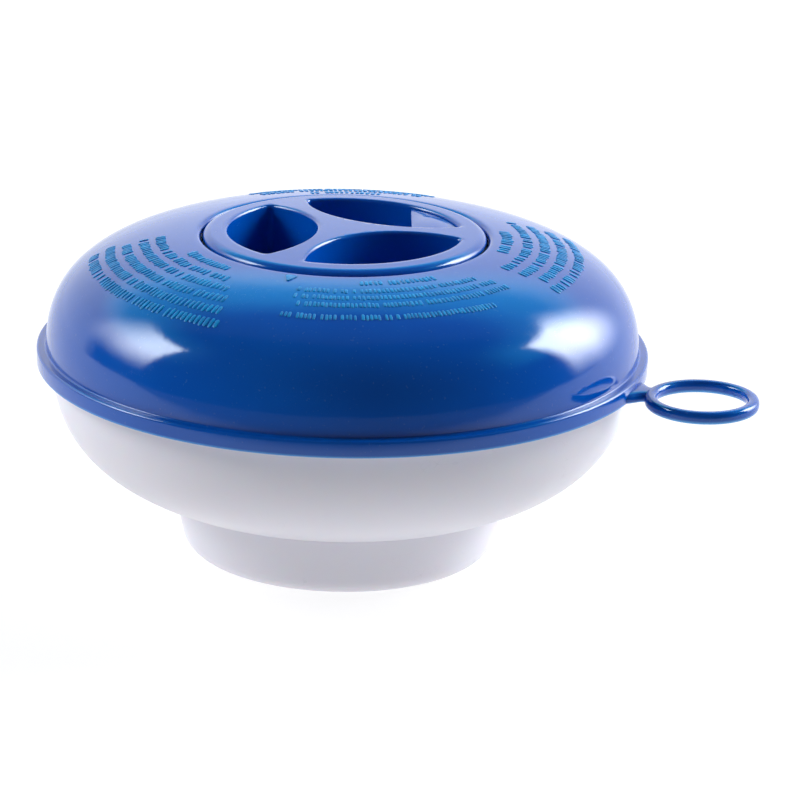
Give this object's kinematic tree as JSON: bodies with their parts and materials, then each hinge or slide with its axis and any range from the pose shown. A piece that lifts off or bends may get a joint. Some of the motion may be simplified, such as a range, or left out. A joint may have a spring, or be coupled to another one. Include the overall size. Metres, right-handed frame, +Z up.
{
  "type": "floating chlorine dispenser",
  "caption": "Saucer-shaped pool float with a tablet well, a screw-in cap with finger pockets, a turning dosing base and a tether loop on its rim.",
  "frame": {"origin": "centre of the dosing base's underside, on the axis of the float", "axes": "+Z up along the float's axis, +X towards the tether loop"},
  "size_m": [0.2441, 0.203, 0.1108],
  "materials": {
    "blue_gloss": "polished, moulded",
    "white_satin": "satin, moulded",
    "seal_rubber": "matt",
    "spring_steel": "bright wire"
  },
  "bodies": {
    "hull": {"upper_shell": "blue_gloss", "tether_loop": "blue_gloss", "lower_shell": "white_satin", "seam_seal": "seal_rubber", "tablet_well": "white_satin", "well_upper_seal": "seal_rubber", "well_lower_seal": "seal_rubber"},
    "base": {"dosing_base": "white_satin", "base_washer": "white_satin", "base_screw": "white_satin"},
    "seal": {"cap_seal": "seal_rubber"},
    "cap": {"cap_body": "blue_gloss", "lock_spring": "spring_steel"},
    "tab": {"lock_tab": "blue_gloss"}
  },
  "joints": [
    {"name": "dosing_turn", "type": "hinge", "parent": "hull", "child": "base", "pos_m": [0, 0, 0], "axis": [0, 0, 1], "range_deg": [0, 45]},
    {"name": "cap_lift", "type": "slide", "parent": "hull", "child": "seal", "axis": [0, 0, 1], "range_m": [0, 0.0451]},
    {"name": "cap_twist", "type": "hinge", "parent": "seal", "child": "cap", "pos_m": [0, 0, 0.1], "axis": [0, 0, 1], "range_deg": [0, 450]},
    {"name": "tab_press", "type": "slide", "parent": "cap", "child": "tab", "axis": [0, 0, -1], "range_m": [0, 0.003], "stiffness_N_per_m": 400, "springref_m": -0.004, "deforming": ["lock_spring"]}
  ],
  "couplings": [
    {"joint": "cap_lift", "follows": "cap_twist", "m_per_rad": 0.0057296}
  ]
}
